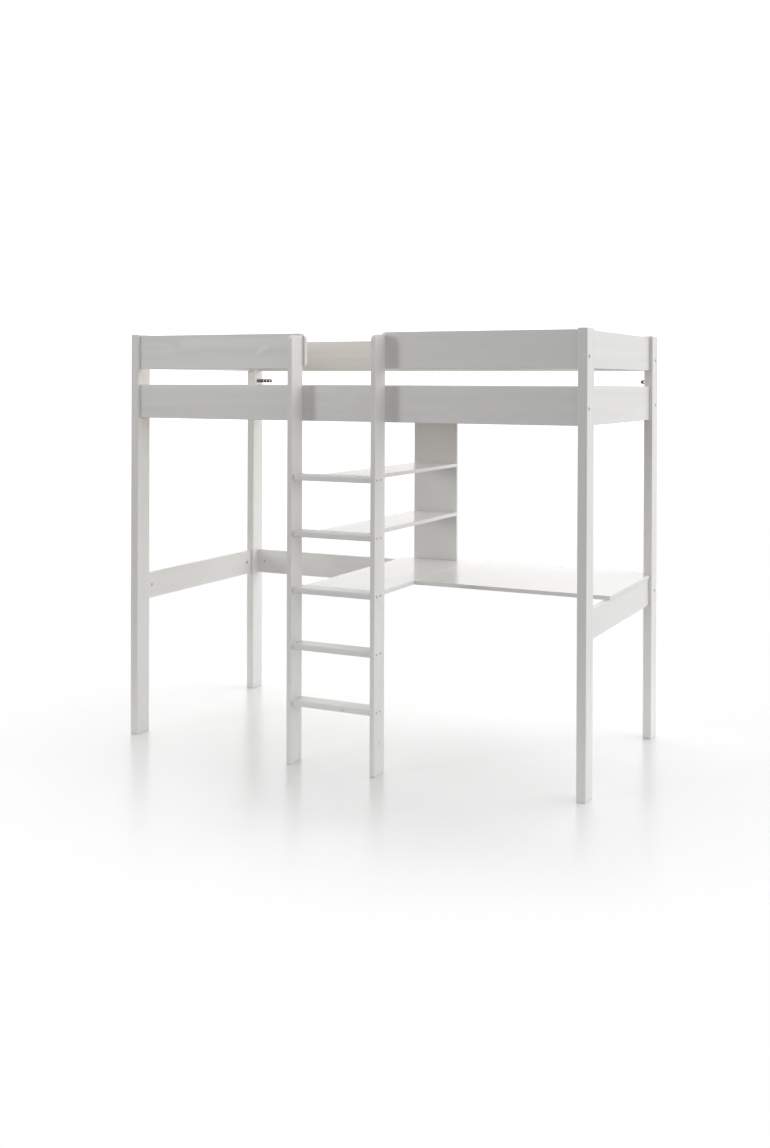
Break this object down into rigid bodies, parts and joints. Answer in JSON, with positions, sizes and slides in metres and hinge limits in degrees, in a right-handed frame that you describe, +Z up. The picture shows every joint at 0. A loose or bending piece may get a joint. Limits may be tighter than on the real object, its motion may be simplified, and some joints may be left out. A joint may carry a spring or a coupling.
{
  "type": "loft bed with desk",
  "caption": "Single loft bed in white pine with a straight front ladder, guard rails, an L-shaped desk and a slim shelf tower underneath.",
  "frame": {"origin": "on the floor at the middle of the overall bounding box, ladder included", "axes": "+X along the bed to the end with the desk, +Y from the ladder side to the wall side, +Z up"},
  "size_m": [2.083, 1.069, 1.75],
  "materials": {
    "white_pine": "satin white lacquer over fine straight grain",
    "white_panel": "satin white lacquered board with a coated edge",
    "bare_pine": "planed, uncoated",
    "beech": "turned, fluted, uncoated",
    "webbing": "woven polyester band",
    "dark_zinc": "dull zinc plate",
    "zinc_steel": "bright zinc plate"
  },
  "bodies": {
    "root": {"post_front_left": "white_pine", "post_front_right": "white_pine", "post_back_left": "white_pine", "post_back_right": "white_pine", "front_lower_rail": "white_pine", "front_guard_left": "white_pine", "front_guard_right": "white_pine", "back_upper_rail": "white_pine", "back_lower_rail": "white_pine", "back_mid_rail": "white_pine", "left_upper_rail": "white_pine", "left_lower_rail": "white_pine", "left_mid_rail": "white_pine", "right_upper_rail": "white_pine", "right_lower_rail": "white_pine", "right_mid_rail": "white_pine", "ladder_rail_left": "white_pine", "ladder_rail_right": "white_pine", "ladder_step_1": "white_pine", "ladder_step_2": "white_pine", "ladder_step_3": "white_pine", "ladder_step_4": "white_pine", "ladder_step_5": "white_pine", "desk_top_main": "white_panel", "desk_top_return": "white_panel", "shelf_back_panel": "white_panel", "shelf_upper": "white_panel", "shelf_lower": "white_panel", "slat_ledge_front": "bare_pine", "slat_ledge_back": "bare_pine", "slat_01": "bare_pine", "slat_02": "bare_pine", "slat_03": "bare_pine", "slat_04": "bare_pine", "slat_05": "bare_pine", "slat_06": "bare_pine", "slat_07": "bare_pine", "slat_08": "bare_pine", "slat_09": "bare_pine", "slat_10": "bare_pine", "slat_11": "bare_pine", "slat_12": "bare_pine", "slat_13": "bare_pine", "slat_straps": "webbing", "wall_bracket_left": "dark_zinc", "wall_bracket_right": "dark_zinc", "wood_dowels": "beech", "frame_bolts": "zinc_steel", "barrel_nuts": "zinc_steel", "cam_locks": "zinc_steel", "cam_pins": "zinc_steel", "ladder_step_screws": "zinc_steel", "ladder_rail_screws": "zinc_steel", "shelf_screws": "zinc_steel", "panel_screws": "zinc_steel", "desk_joint_plates": "zinc_steel", "plate_screws": "zinc_steel", "bracket_screws": "zinc_steel", "ledge_screws": "zinc_steel", "slat_screws": "zinc_steel"}
  },
  "joints": []
}
